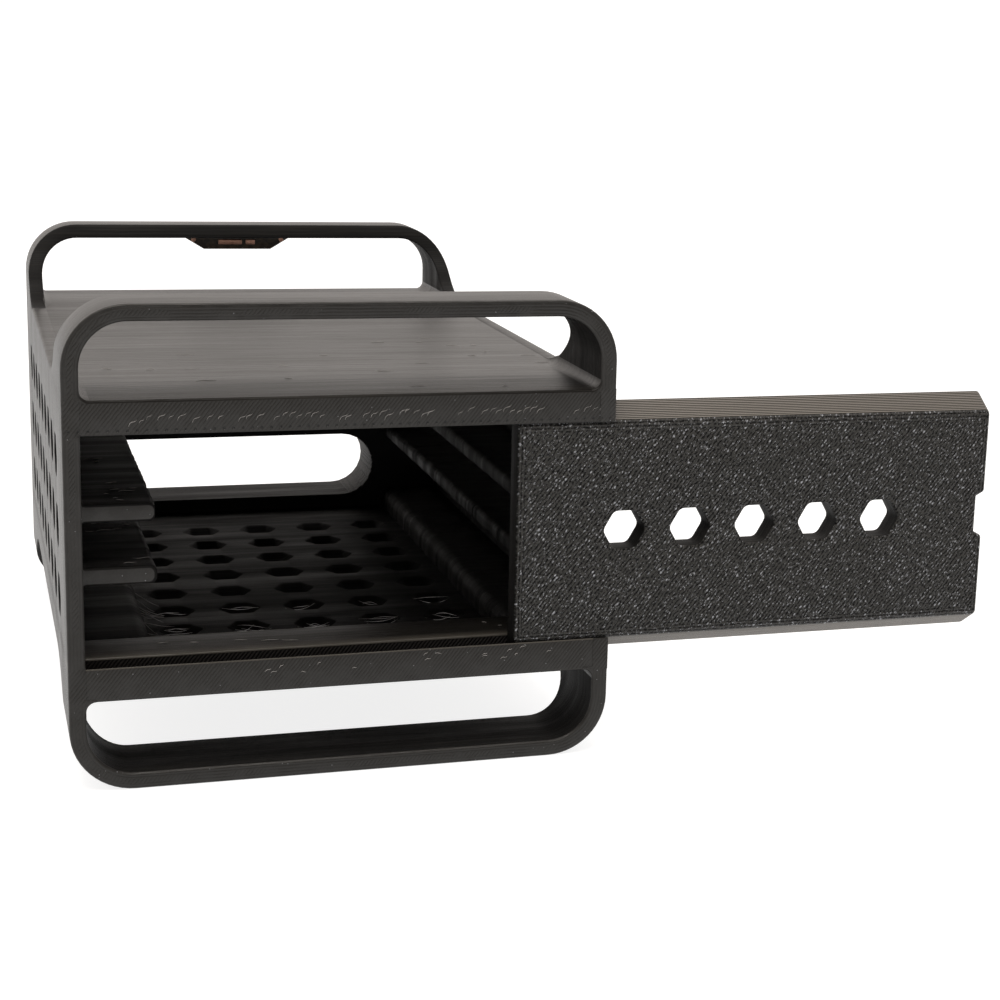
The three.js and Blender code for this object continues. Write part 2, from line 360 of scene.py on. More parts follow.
def shell_levels():
    """Distances along the half loop from the floor's level up to the middle of the handle."""
    _, first, second, third, last = loop_levels()
    flare = [DECK + SCOOP_RADIUS * (1 - math.cos(math.radians(a))) for a in range(4, 36, 4)]
    straight = [first + z - LOOP_RADIUS for z in flare if z < TOP - LOOP_RADIUS - 0.2 * MM]
    bend = [second + (third - second) * k / ARC_STEPS for k in range(ARC_STEPS + 1)]
    return straight + bend + [last]


def shell_half(maker, mirror):
    _, first, _, _, last = loop_levels()
    deck_s = first + DECK - LOOP_RADIUS
    floor_s = last - deck_s
    upper = shell_levels()
    lower = [last - s for s in reversed(upper)]

    def front_depth(s, t):
        return scoop(on_loop(s, t, 1)[1], FRONT_SCOOP)

    def rear_depth(s, t):
        return DEPTH - scoop(on_loop(s, t, 1)[1], REAR_SCOOP)

    def level(z):
        return first + z - LOOP_RADIUS

    front = [(s, 0.0) for s in lower]
    round_front = [EDGE] * len(front)
    if mirror > 0:
        slope = GROOVE_FLARE / (GROOVE_BACK - FRONT)
        depth = GROOVE_BACK - FRONT
        cut = rounded([
            (level(FLOOR_LOW), 0, 0), (level(RIM_TOP), 0, LIP_EDGE),
            (level(RIM_TOP - slope * depth), depth, 0.3 * MM),
            (level(LINTEL + slope * depth), depth, 0.3 * MM),
            (level(LINTEL), 0, LIP_EDGE), (level(DECK), 0, 0)])
        front += cut
        round_front += [0.0] * len(cut)
    else:
        cut = [(level(z), 0.0) for z in (FLOOR_LOW, RIM_TOP, RIM_TOP + EDGE, LINTEL - EDGE, LINTEL, DECK)]
        front += cut
        round_front += [0.0, 0.0, EDGE, EDGE, 0.0, 0.0]
    front += [(s, 0.0) for s in upper]
    round_front += [EDGE] * len(upper)

    def fading(s):
        z = on_loop(s, 0, 1)[1]
        return EDGE * min(1.0, (max(z, TOP - z) - DECK) / (0.6 * MM))

    near, far, far_round = list(front), list(front), list(round_front)
    kinds = [RINGS] * (len(front) - 1) + [LAYERS]
    for i in range(len(lower) - 1, len(lower) + (len(front) - 2 * len(lower))):
        level_here = (front[i][0] + front[i + 1][0]) / 2
        if not level(RIM_TOP) < level_here < level(LINTEL):
            kinds[i] = INFILL
        elif front[i][1] > 0 or front[i + 1][1] > 0:
            kinds[i] = INSIDE_PAINTED_SHADE
    open_edges = [len(near) - 1]
    top_start = len(near)
    for s in reversed(upper):
        near.append((s, front_depth(s, 0)))
        far.append((s, front_depth(s, BAND)))
        far_round.append(fading(s))
    for s, y in ((deck_s, FRONT_SCOOP), (deck_s, DEPTH - REAR_SCOOP)):
        near.append((s, y))
        far.append((s, y))
        far_round.append(0.0)
    rear_top = len(near)
    for s in upper:
        near.append((s, rear_depth(s, 0)))
        far.append((s, rear_depth(s, BAND)))
        far_round.append(fading(s))
    kinds += [LAYERS] * (rear_top - len(kinds))
    # The rear scoops, here and below, take the inside material: painted shade on faces turned to the front.
    kinds += [INSIDE_PAINTED_SHADE] * (len(near) - len(kinds))
    open_edges.append(len(near) - 1)
    rear_high = len(near)
    rear = list(reversed(upper)) + [deck_s, floor_s] + list(reversed(lower))
    for s in rear:
        near.append((s, DEPTH))
        far.append((s, DEPTH))
        far_round.append(0.0 if s in (deck_s, floor_s) else EDGE)
    kinds += [RINGS] * (len(near) - len(kinds))
    open_edges.append(len(near) - 1)
    rear_low = len(near)
    for s in lower:
        near.append((s, rear_depth(s, 0)))
        far.append((s, rear_depth(s, BAND)))
        far_round.append(fading(s))
    kinds += [INSIDE_PAINTED_SHADE] * (len(near) - len(kinds))
    for y in (DEPTH - REAR_SCOOP, FRONT_SCOOP):
        near.append((floor_s, y))
        far.append((floor_s, y))
        far_round.append(0.0)
    front_low = len(near)
    for s in reversed(lower):
        near.append((s, front_depth(s, 0)))
        far.append((s, front_depth(s, BAND)))
        far_round.append(fading(s))
    open_edges.append(len(near) - 1)
    kinds += [LAYERS] * (len(near) - len(kinds))

    span = len(upper)
    rungs = []
    for k in range(span):
        rungs.append((k, front_low + span - 1 - k))
        rungs.append((top_start - span + k, top_start + span - 1 - k))
        rungs.append((rear_top + k, rear_high + span - 1 - k))
        rungs.append((rear_low + k, rear_low - 1 - k))
    rungs = [pair for pair in rungs if abs(near[pair[0]][0] - near[pair[1]][0]) < 1e-9]
    ends = {tuple(sorted((e, (e + 1) % len(near)))) for e in open_edges}
    rungs = [pair for pair in rungs if tuple(sorted(pair)) not in ends]

    outer_round = [EDGE] * len(near)
    if mirror > 0:
        for i in range(len(lower), len(front) - len(upper)):
            outer_round[i] = 0.12 * MM
    wall = Outline(near, far, outer_round, far_round, kinds, open_edges)
    holes = []
    for row in (-1, 0, 1):
        for column in range(WALL_HOLE_COLUMNS):
            hole = hexagon(WALL_HOLE_START + column * PITCH, MIDDLE + row * PITCH)
            turned = [(first + p.y - LOOP_RADIUS, p.x) for p in reversed(hole.near)]
            holes.append(Outline(turned, near_round=FINE_EDGE, far_round=FINE_EDGE, kinds=INSIDE_PAINTED_SHADE))

    def place(s, y, t):
        x, z = on_loop(s, t, mirror)
        return x, FRONT + y, z

    slab(maker, [wall] + holes, BAND, place, LAYERS, INSIDE_PAINTED_SHADE, rungs=rungs)


def mirrored_level(z):
    return TOP - z


def rails(maker):
    """The front rim above and below the opening, each with its dovetail groove and sill."""
    slope = GROOVE_FLARE / (GROOVE_BACK - FRONT)
    depth = GROOVE_BACK - FRONT
    section = [
        (FRONT + HAIR_ROOM, FLOOR_LOW, EDGE), (RIM_BACK, FLOOR_LOW, 0), (RIM_BACK, RIM_TOP, EDGE),
        (GROOVE_BACK, RIM_TOP, 0.3 * MM), (GROOVE_BACK, RIM_TOP - slope * depth, 0),
        (FRONT + HAIR_ROOM, RIM_TOP, LIP_EDGE)]
    low = rounded(section)
    high = [(y, mirrored_level(z)) for y, z in reversed(low)]
    for points in (low, high):
        kinds = []
        for i, (y, _) in enumerate(points):
            flat = abs(y - points[(i + 1) % len(points)][0]) < 1e-9
            if flat and abs(y - GROOVE_BACK) < HIDDEN:
                kinds.append(SHADED)
            else:
                kinds.append(INFILL if flat and y < GROOVE_BACK else LAYERS)
        rim = Outline(points, near_round=0.0, far_round=0.0, kinds=kinds)
        slab(maker, [rim], 2 * INNER, across_x(-INNER))


def floor_panel(maker):
    holes = []
    for column in range(-2, 3):
        for row in range(FLOOR_HOLE_ROWS):
            hole = hexagon(column * PITCH, FRONT + FLOOR_HOLE_START + row * PITCH)
            lean = Vector((0, -FLOOR_HOLE_LEAN))
            hole.near = [point + lean for point in hole.near]
            hole.kinds = [INSIDE_PAINTED_SHADE] * len(hole.near)
            holes.append(hole)
    edge = Outline(rectangle(-INNER, RIM_BACK, INNER, REAR_FACE), near_round=0.0, far_round=0.0)
    slab(maker, [edge] + holes, FLOOR_HIGH - FLOOR_LOW, across_z(FLOOR_LOW), LAYERS, INSIDE_PAINTED_SHADE)


def top_panel(maker):
    edge = Outline(rectangle(-INNER, RIM_BACK, INNER, REAR_FACE), near_round=0.0, far_round=0.0)
    slab(maker, [edge], DECK - CEILING, across_z(CEILING), INSIDE_PAINTED_SHADE, LAYERS)


def ragged(section, start, end, tip, chance, near_round=0.0):
    """Runs a section along Y from start to end, each group of layers ending a little differently.

    Points are (x, z) of the right-hand piece; those near its tip wander inwards by up to RAGGED.
    """
    rings = []
    depth = start
    offset = 0.0
    corner = []
    if near_round:
        corner = [start + near_round * (1 - math.cos(math.radians(a))) for a in (0, 30, 60, 90)]
    depths = list(corner)
    while depth < end - 1 * MM:
        depth += chance.uniform(0.25, 1.0) * MM
        if not corner or depth > corner[-1] + 0.1 * MM:
            depths.append(depth)
    depths.append(end)
    if not corner:
        depths.insert(0, start)
    for depth in depths:
        if chance.random() < 0.55:
            offset = RAGGED * chance.random() ** 2
        sunk = max(0.0, near_round - (depth - start))
        shrink = near_round - math.sqrt(max(0.0, near_round ** 2 - sunk ** 2))
        ring = []
        for x, z in section:
            weight = max(0.0, 1 - (x - tip) / (1.6 * MM))
            middle = sum(point[1] for point in section) / len(section)
            pull = min(1.0, abs(z - middle) / (0.8 * MM))
            settled = z - shrink * pull * (1 if z > middle else -1)
            ring.append((x + weight * (offset + shrink), depth, settled))
        rings.append(ring)
    return rings


def run_rings(maker, rings, place, near_kind, side_kind):
    """Skins a run of rings, each point put in position by place."""
    ids = [[maker.point(place(*point), 0.0) for point in ring] for ring in rings]
    for first, second in zip(ids, ids[1:]):
        for i in range(len(first)):
            j = (i + 1) % len(first)
            maker.face((first[i], first[j], second[j], second[i]), side_kind)
    maker.face(tuple(ids[0]), near_kind)
    maker.face(tuple(ids[-1]), side_kind)


def steps(maker, chance):
    """The raised strips beside the floor, and their mirror images under the top plate."""
    right = rounded([
        (INNER, FLOOR_HIGH, 0), (INNER, RIM_TOP, 0),
        (SHELF_TIP, RIM_TOP, 2 * MM), (SHELF_TIP, FLOOR_HIGH, 0)], 6)
    for sideways in (1, -1):
        for upside in (False, True):
            rings = ragged(right, RIM_BACK, REAR_FACE, SHELF_TIP, chance)

            def place(x, y, z):
                return sideways * x, y, TOP - z if upside else z

            run_rings(maker, rings, place, INSIDE_PAINTED_SHADE, INSIDE_PAINTED_SHADE)


def ledges(maker, chance):
    """Shelf ledges with round, ragged tips and small fillets at the wall."""
    fillet = 0.7 * MM
    for level in ("lower", "upper"):
        low, high = (corner.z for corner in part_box(f"right_{level}_ledge"))
        radius = (high - low) * 0.34
        section = arc(INNER - fillet, low - fillet, fillet, 0, 90, 4)
        section += reversed(arc(SHELF_TIP + radius, low + radius, radius, 180, 270, 5))
        section += reversed(arc(SHELF_TIP + radius, high - radius, radius, 90, 180, 5))
        section += arc(INNER - fillet, high + fillet, fillet, 270, 360, 4)
        for sideways in (1, -1):
            rings = ragged(section, GROOVE_BACK, REAR_FACE, SHELF_TIP, chance, 0.3 * MM)
            run_rings(maker, rings, lambda x, y, z: (sideways * x, y, z), RINGS, INSIDE_PAINTED_SHADE)


def rear_wall(maker):
    radius = WINDOW_HEIGHT / 2
    left, right = WINDOW_ENDS
    edge = Outline(rectangle(-INNER, FLOOR_LOW, INNER, DECK), near_round=0.0, far_round=0.0)
    windows = []
    for z in (WINDOW_SILL + radius, TOP - WINDOW_SILL - radius):
        ring = arc(right - radius, z, radius, 90, -90, 12) + arc(left + radius, z, radius, 270, 90, 12)
        kinds = [SHADED if x > right - 0.7 * radius else INSIDE_PAINTED_SHADE for x, _ in ring]
        windows.append(Outline(ring, kinds=kinds))
    slab(maker, [edge] + windows, BACK - REAR_FACE, across_y(REAR_FACE), INSIDE_PAINTED_SHADE, INFILL)


def tab(maker):
    low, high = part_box("handle_tab")
    half = high.x
    short = half - 4.3 * MM
    points = rounded([
        (-half, high.z, 0), (-short, low.z, 0.4 * MM), (short, low.z, 0.4 * MM), (half, high.z, 0)])
    edge = Outline(points, near_round=0.2 * MM, far_round=0.2 * MM, kinds=BROWN)
    slab(maker, [edge], high.y - low.y, across_y(low.y), BROWN, BROWN)


def leg_fillets(maker):
    """Hollow fillets where each leg of the handles and feet meets the sleeve.

    Each follows the leg back from the face of the loop and shrinks with it under the scoop.
    """
    for reverse, reach in ((False, FRONT_SCOOP), (True, REAR_SCOOP)):
        depths = [EDGE * (1 - math.cos(math.radians(a))) for a in (0, 30, 60, 90)]
        depths += [reach * k / 12 for k in range(1, 13)]
        sections = []
        for depth in depths:
            height = SCOOP_RADIUS - math.sqrt(SCOOP_RADIUS ** 2 - min(reach - depth, SCOOP_RADIUS) ** 2)
            radius = min(FILLET, max(height, 0.01 * MM))
            lip = EDGE - math.sqrt(max(0.0, EDGE ** 2 - (EDGE - depth) ** 2)) if depth < EDGE else 0.0
            hollow = arc(INNER - radius, DECK + radius, radius + lip, 270, 360, 6)
            behind = EDGE * min(1.0, height / FILLET)
            sections.append((depth, hollow + [
                (INNER + behind, DECK + radius), (INNER + behind, DECK - behind),
                (INNER - radius, DECK - behind)]))
        for sideways in (1, -1):
            for upside in (False, True):
                loft(maker, sections, sideways, upside, reverse)


def loft(maker, sections, sideways, upside, reverse):
    """Joins (depth, outline) sections of equal counts, in any mirrored position."""
    rings = []
    for depth, points in sections:
        depth = max(depth, HIDDEN)
        y = BACK - depth if reverse else FRONT + depth
        ring = []
        for x, z in points:
            ring.append(maker.point((sideways * x, y, TOP - z if upside else z), INNER + BAND - x))
        rings.append(ring)
    for first, second in zip(rings, rings[1:]):
        count = len(first)
        for i in range(count):
            j = (i + 1) % count
            maker.face((first[i], first[j], second[j], second[i]), LAYERS)
    maker.face(tuple(rings[0]), RINGS)
    maker.face(tuple(rings[-1]), LAYERS)


def strand(maker, points, radius):
    """A hair of plastic through the points, thinner towards its ends."""
    rings = []
    sides = 5
    for i, point in enumerate(points):
        before, after = points[max(0, i - 1)], points[min(len(points) - 1, i + 1)]
        along = (after - before).normalized()
        first = along.orthogonal().normalized()
        second = along.cross(first)
        thick = radius * (0.35 + 0.65 * math.sin(math.pi * i / (len(points) - 1)))
        rings.append([maker.point(point + thick * (math.cos(a) * first + math.sin(a) * second))
                      for a in (2 * math.pi * k / sides for k in range(sides))])
    for first, second in zip(rings, rings[1:]):
        for k in range(sides):
            maker.face((first[k], first[(k + 1) % sides], second[(k + 1) % sides], second[k]), HAIR)
    maker.face(tuple(rings[0]), HAIR)
    maker.face(tuple(reversed(rings[-1])), HAIR)


def curl(start, end, sag, sway, steps=7):
    """Points from start to end that bow by sag downwards and by the vector sway."""
    points = []
    for k in range(steps + 1):
        t = k / steps
        bow = math.sin(math.pi * t)
        points.append(start.lerp(end, t) + Vector((0, 0, -sag * bow)) + sway * bow * math.cos(2.2 * t))
    return points


def rail_whiskers(maker, chance):
    """Little hooked hairs along the middle of the upper rim, and a few on the lower one."""
    face = FRONT + 0.6 * HAIR_ROOM
    x = -30 * MM
    while x < INNER:
        height = (LINTEL + DECK) / 2 + chance.uniform(-0.5, 0.3) * MM
        reach = chance.uniform(0.6, 1.3) * MM
        foot = Vector((x, face, height - 0.6 * reach))
        head = Vector((x + reach, face, height + 0.25 * reach))
        if chance.random() < 0.75:
            sway = Vector((-0.15, 0, 0.3)) * reach
            strand(maker, curl(foot, head, 0, sway), chance.uniform(0.018, 0.032) * MM)
        x += chance.uniform(0.7, 1.5) * MM
    for _ in range(16):
        foot = Vector((chance.uniform(-12, 34) * MM, face, FLOOR_LOW + chance.uniform(2.4, 4.2) * MM))
        head = foot + Vector((chance.uniform(0.4, 1.0), 0, chance.uniform(0.0, 0.5))) * MM
        strand(maker, curl(foot, head, 0, Vector((0, 0, 0.2 * MM))), 0.03 * MM)


def flat_whiskers(maker, chance):
    """Stray hairs lying on the top plate, the lower rim and the ledges."""
    places = [((-33, 33), (-3, 45), DECK, 22), ((-33, 30), (1, 7), RIM_TOP, 7)]
    for name in ("left_lower_ledge", "left_upper_ledge"):
        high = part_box(name)[1].z
        places.append(((-34, -28), (0, 30), high, 9))
    for (x0, x1), (y0, y1), height, count in places:
        for _ in range(count):
            foot = Vector((chance.uniform(x0, x1) * MM, chance.uniform(y0, y1) * MM, height + 0.03 * MM))
            length = chance.uniform(0.6, 3.0) * MM
            head = foot + Vector((length, chance.uniform(-0.25, 0.25) * length, 0))
            sway = Vector((0, chance.uniform(-0.3, 0.3) * length, 0.04 * MM))
            strand(maker, curl(foot, head, 0, sway), chance.uniform(0.025, 0.045) * MM)


def vent_whiskers(maker, chance):
    """Loose strings across the front two rows of floor holes and from the left step."""
    for row in range(2):
        for column in range(-2, 3):
            middle = Vector((column * PITCH, FRONT + FLOOR_HOLE_START + row * PITCH, FLOOR_HIGH))
            for _ in range(4 if row == 0 else 2):
                foot = middle + Vector((chance.uniform(-3.4, -1.0), chance.uniform(-2.6, 0.5), 0.1)) * MM
                head = middle + Vector((chance.uniform(0.5, 3.2), chance.uniform(-2.6, 0.5), 0.1)) * MM
                sag = chance.uniform(-0.35, 0.7) * MM
                strand(maker, curl(foot, head, sag, Vector((0, 0.3 * MM, 0))), 0.03 * MM)
    for _ in range(12):
        along = chance.uniform(18, 38) * MM
        foot = Vector((-SHELF_TIP - 0.1 * MM, along, FLOOR_HIGH + chance.uniform(0.4, 2.6) * MM))
        head = foot + Vector((chance.uniform(1.5, 5.0), chance.uniform(-1, 1), 0)) * MM
        head.z = FLOOR_HIGH + 0.05 * MM
        strand(maker, curl(foot, head, 0.2 * MM, Vector((0, 0.4 * MM, 0))), 0.03 * MM)


def build_case(materials):
    maker = Maker()
    shell_half(maker, 1)
    shell_half(maker, -1)
    leg_fillets(maker)
    rails(maker)
    floor_panel(maker)
    top_panel(maker)
    chance = random.Random(11)
    steps(maker, chance)
    ledges(maker, chance)
    rear_wall(maker)
    tab(maker)
    rail_whiskers(maker, chance)
    flat_whiskers(maker, chance)
    vent_whiskers(maker, chance)
    piece = maker.build("printed_case", materials)
    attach(piece, "case")
    metal = ("long_strip", "short_strip", "left_pin", "right_pin", "sliding_door")
    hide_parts(*[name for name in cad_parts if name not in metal])


# ---- The door ----
def build_door(materials):
    low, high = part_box("sliding_door")
    thickness = high.y - low.y
    slope = GROOVE_FLARE / (GROOVE_BACK - FRONT)
    lean = slope * thickness
    notch_depth, notch_outer, notch_inner = 1.3 * MM, 6.9 * MM / 2, 5.5 * MM / 2

    def border(bottom):
        top = TOP - bottom
        corner, hollow = 0.55 * MM, 0.2 * MM
        return rounded([
            (low.x, bottom, corner), (high.x, bottom, corner),
            (high.x, MIDDLE - notch_outer, corner), (high.x - notch_depth, MIDDLE - notch_inner, hollow),
            (high.x - notch_depth, MIDDLE + notch_inner, hollow), (high.x, MIDDLE + notch_outer, corner),
            (high.x, top, corner), (low.x, top, corner)])

    near = border(low.z + lean)
    kinds = []
    for i, (x, _) in enumerate(near):
        left_end = max(x, near[(i + 1) % len(near)][0]) < low.x + 0.3 * MM
        kinds.append(INSIDE_PAINTED_SHADE if left_end else EDGING)
    edge = Outline(near, border(low.z), near_round=0.5 * MM, far_round=EDGE, kinds=kinds)
    holes = [hexagon(low.x + DOOR_HOLE_START + k * PITCH, MIDDLE, 0.3 * MM, 1.1 * MM) for k in range(5)]
    for hole in holes:
        hole.kinds = [INSIDE_PAINTED_SHADE] * len(hole.near)
    maker = Maker()
    slab(maker, [edge] + holes, thickness, across_y(low.y), SPECKLED, INFILL, near_wraps=True)
    piece = maker.build("sliding_door_print", materials)
    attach(piece, "door")
    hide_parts("sliding_door")


# ---- Copper inlays ----
def build_inlays(materials):
    for node in ("long_strip", "short_strip", "left_pin", "right_pin"):
        low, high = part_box(node)
        maker = Maker()
        if node.endswith("strip"):
            points = rectangle(low.x, low.z, high.x, high.z, 0.12 * MM)
        else:
            radius = (high.x - low.x) / 2 * 0.97
            points = arc((low.x + high.x) / 2, (low.z + high.z) / 2, radius, 0, 360, 20)[:-1]
        edge = Outline(points, near_round=0.1 * MM, far_round=0.0)
        slab(maker, [edge], high.y - low.y, across_y(low.y), COPPER, COPPER)
        piece = maker.build(node + "_inlay", materials)
        for face in piece.data.polygons:
            face.material_index = COPPER
        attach(piece, "case")
        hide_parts(node)


# ---- Materials ----
class Graph:
    """A material whose nodes are added by calls that read like a formula."""

    def __init__(self, name):
        self.material = bpy.data.materials.new(name)
        self.material.use_nodes = True
        self.tree = self.material.node_tree
        self.shader = self.tree.nodes["Principled BSDF"]
        place = self.tree.nodes.new("ShaderNodeTexCoord")
        scaled = self.vector("SCALE", place.outputs["Object"], scale=1 / MM)
        self.place = scaled
        split = self.tree.nodes.new("ShaderNodeSeparateXYZ")
        self.tree.links.new(scaled, split.inputs[0])
        self.x, self.y, self.z = split.outputs

    def feed(self, socket, value):
        if isinstance(value, bpy.types.NodeSocket):
            self.tree.links.new(value, socket)
        elif value is not None:
            socket.default_value = value

    def math(self, operation, a, b=None, c=None):
        node = self.tree.nodes.new("ShaderNodeMath")
        node.operation = operation
        for socket, value in zip(node.inputs, (a, b, c)):
            self.feed(socket, value)
        return node.outputs[0]

    def vector(self, operation, a, b=None, scale=None):
        node = self.tree.nodes.new("ShaderNodeVectorMath")
        node.operation = operation
        self.feed(node.inputs[0], a)
        self.feed(node.inputs[1], b)
        if scale is not None:
            node.inputs["Scale"].default_value = scale
        return node.outputs[0]

    def combine(self, x, y, z):
        node = self.tree.nodes.new("ShaderNodeCombineXYZ")
        for socket, value in zip(node.inputs, (x, y, z)):
            self.feed(socket, value)
        return node.outputs[0]

    def noise(self, vector, scale, detail=2.0, roughness=0.5):
        node = self.tree.nodes.new("ShaderNodeTexNoise")
        self.feed(node.inputs["Vector"], vector)
        node.inputs["Scale"].default_value = scale
        node.inputs["Detail"].default_value = detail
        node.inputs["Roughness"].default_value = roughness
        return node.outputs["Fac"]

    def cells(self, vector, scale):
        """Distance to the nearest cell centre, and a random colour for each cell."""
        node = self.tree.nodes.new("ShaderNodeTexVoronoi")
        self.feed(node.inputs["Vector"], vector)
        node.inputs["Scale"].default_value = scale
        return node.outputs["Distance"], node.outputs["Color"]

    def span(self, value, low, high, start=0.0, end=1.0):
        """Carries low to high over to start to end, with a smooth change and no overshoot."""
        node = self.tree.nodes.new("ShaderNodeMapRange")
        node.interpolation_type = "SMOOTHSTEP"
        for socket, number in zip(node.inputs, (value, low, high, start, end)):
            self.feed(socket, number)
        return node.outputs[0]

    def blend(self, factor, first, second):
        """Mixes two colours."""
        node = self.tree.nodes.new("ShaderNodeMix")
        node.data_type = "RGBA"
        self.feed(node.inputs[0], factor)
        for socket, colour in ((node.inputs[6], first), (node.inputs[7], second)):
            self.feed(socket, (*colour, 1) if isinstance(colour, tuple) else colour)
        return node.outputs[2]

    def total(self, *terms):
        """Adds the terms, each of them a socket or a (socket, weight) pair."""
        result = None
        for term in terms:
            value = self.math("MULTIPLY", *term) if isinstance(term, tuple) else term
            result = value if result is None else self.math("ADD", result, value)
        return result

    def ridges(self, along, pitch):
        """Rounded beads side by side: 0 in the valleys and 1 on the crests."""
        turn = self.math("MULTIPLY", along, math.pi / pitch)
        return self.math("ABSOLUTE", self.math("SINE", turn))

    def bump(self, height, strength=1.0):
        """Relief from a height in millimetres."""
        node = self.tree.nodes.new("ShaderNodeBump")
        node.inputs["Strength"].default_value = strength
        node.inputs["Distance"].default_value = MM
        self.feed(node.inputs["Height"], height)
        self.feed(self.shader.inputs["Normal"], node.outputs[0])

    def finish(self, colour, roughness, specular=0.5):
        self.feed(self.shader.inputs["Base Color"], (*colour, 1) if isinstance(colour, tuple) else colour)
        self.feed(self.shader.inputs["Roughness"], roughness)
        self.feed(self.shader.inputs["Specular IOR Level"], specular)
        return self.material


BLACK = (0.0085, 0.0075, 0.0065)
DUSTY = (0.017, 0.0155, 0.0135)
SPECK = (0.40, 0.41, 0.44)
LAYER_PITCH = 0.3
BEAD_PITCH = 0.45
DOOR_BEAD_PITCH = 0.5
SLANT = math.radians(52)


def layers(g, pitch, bead_height, streak_height):
    """Relief of stacked layers along Y and the streaks where some layers differ.

    Gives the beads, the streaks and a broad unevenness, and sets the bump.
    """
    stretch = 0.03
    flat_x = g.math("MULTIPLY", g.x, stretch)
    flat_z = g.math("MULTIPLY", g.z, stretch)
    wander = g.noise(g.combine(flat_x, g.math("MULTIPLY", g.y, 0.5), flat_z), 1.0, 1.0)
    beads = g.ridges(g.math("ADD", g.y, g.math("MULTIPLY", wander, 0.15)), pitch)
    streaks = g.noise(g.combine(flat_x, g.math("MULTIPLY", g.y, 1.3), flat_z), 1.0, 4.0, 0.75)
    broad = g.noise(g.combine(flat_x, g.math("MULTIPLY", g.y, 0.3), flat_z), 1.0, 2.0)
    grain = g.noise(g.place, 6.0, 3.0, 0.7)
    g.bump(g.total((beads, bead_height), (streaks, streak_height), (broad, 0.06), (grain, 0.005)))
    return beads, streaks, broad


def layered_plastic():
    """Outer sides of the print: a soft sheen along the layers, duller on the front of the top plate, and a
    painted cream highlight along the front edge of the sill.
    """
    g = Graph("layered_plastic")
    _, streaks, broad = layers(g, LAYER_PITCH, 0.012, 0.10)
    rough = g.total((streaks, 0.30), (broad, 0.15), g.math("ADD", 0.0, 0.18))
    off_deck = g.math("ABSOLUTE", g.math("SUBTRACT", g.z, DECK / MM))
    deck = g.math("MULTIPLY", g.span(off_deck, 0.5, 1.5, 1.0, 0.0),
                  g.span(g.math("ABSOLUTE", g.x), INNER / MM - 1, INNER / MM, 1.0, 0.0))
    off_sill = g.math("ABSOLUTE", g.math("SUBTRACT", g.z, RIM_TOP / MM))
    sill = g.math("MULTIPLY", g.span(off_sill, 0.5, 1.5, 1.0, 0.0), g.span(g.y, 0.0, 5.0))
    dull = g.math("ADD", g.math("MULTIPLY", deck, g.span(g.y, 1.0, 14.0, 1.0, 0.0)), sill)
    # painted highlight: a cream colour along the sill's front edge stands in for the light caught there
    sill_edge_painted_highlight = g.math("MULTIPLY", g.span(off_sill, 0.3, 0.6, 1.0, 0.0), g.span(g.y, -0.7, 1.6, 1.0, 0.0))
    colour = g.blend(g.span(streaks, 0.4, 0.65), BLACK, DUSTY)
    colour = g.blend(g.math("MULTIPLY", sill_edge_painted_highlight, 0.5), colour, (0.10, 0.09, 0.075))
    return g.finish(colour, rough, g.span(dull, 0.0, 1.0, 0.35, 0.14))


def inside_plastic_painted_shade():
    """Inner surfaces, rougher, and darker in colour as painted shade for the inside of the case; faces
    towards the front show the ends of the beads.
    """
    g = Graph("inside_plastic_painted_shade")
    _, streaks, broad = layers(g, LAYER_PITCH, 0.02, 0.12)
    # painted shade: this darker colour stands in for the shadow inside the case
    dark = (0.004, 0.0038, 0.0038)
    colour = g.blend(g.span(streaks, 0.45, 0.7), dark, BLACK)
    return g.finish(colour, g.span(broad, 0.3, 0.7, 0.55, 0.75), 0.13)


def front_relief(g, lines, line_height, extra=None):
    """Relief, colour and roughness of a face made of beads, with small pits darkened by painted shade, and
    bright specks.
    """
    grain = g.noise(g.place, 5.0, 3.0, 0.7)
    patches = g.noise(g.place, 0.45, 2.0)
    spots, lot = g.cells(g.place, 1.3)
    chosen = g.tree.nodes.new("ShaderNodeSeparateColor")
    g.feed(chosen.inputs[0], lot)
    speck = g.math("MULTIPLY", g.span(spots, 0.04, 0.13, 1.0, 0.0), g.span(chosen.outputs[0], 0.72, 0.8))
    strength = g.span(patches, 0.35, 0.65, line_height * 0.4, line_height)
    height = g.total(g.math("MULTIPLY", lines, strength), (grain, 0.03), (patches, 0.03), (speck, 0.05))
    if extra is not None:
        height = g.math("SUBTRACT", height, g.math("MULTIPLY", extra, 0.12))
    g.bump(height)
    shade = g.blend(g.total((lines, 0.6), (g.span(grain, 0.4, 0.65), 0.4)), BLACK, DUSTY)
    # painted shade: the pits are coloured near black
    if extra is not None:
        shade = g.blend(extra, shade, (0.001, 0.001, 0.001))
    return g.blend(g.math("MULTIPLY", speck, 0.5), shade, SPECK), g.span(patches, 0.3, 0.7, 0.34, 0.5)


def slanted(g, pitch, wobble):
    """Slanting beads, and the two directions along which they were laid."""
    across = g.total((g.x, math.sin(SLANT)), (g.z, -math.cos(SLANT)))
    along = g.total((g.x, math.cos(SLANT)), (g.z, math.sin(SLANT)))
    wander = g.noise(g.place, 0.9, 2.0)
    return g.ridges(g.math("ADD", across, g.math("MULTIPLY", wander, wobble)), pitch), across, along


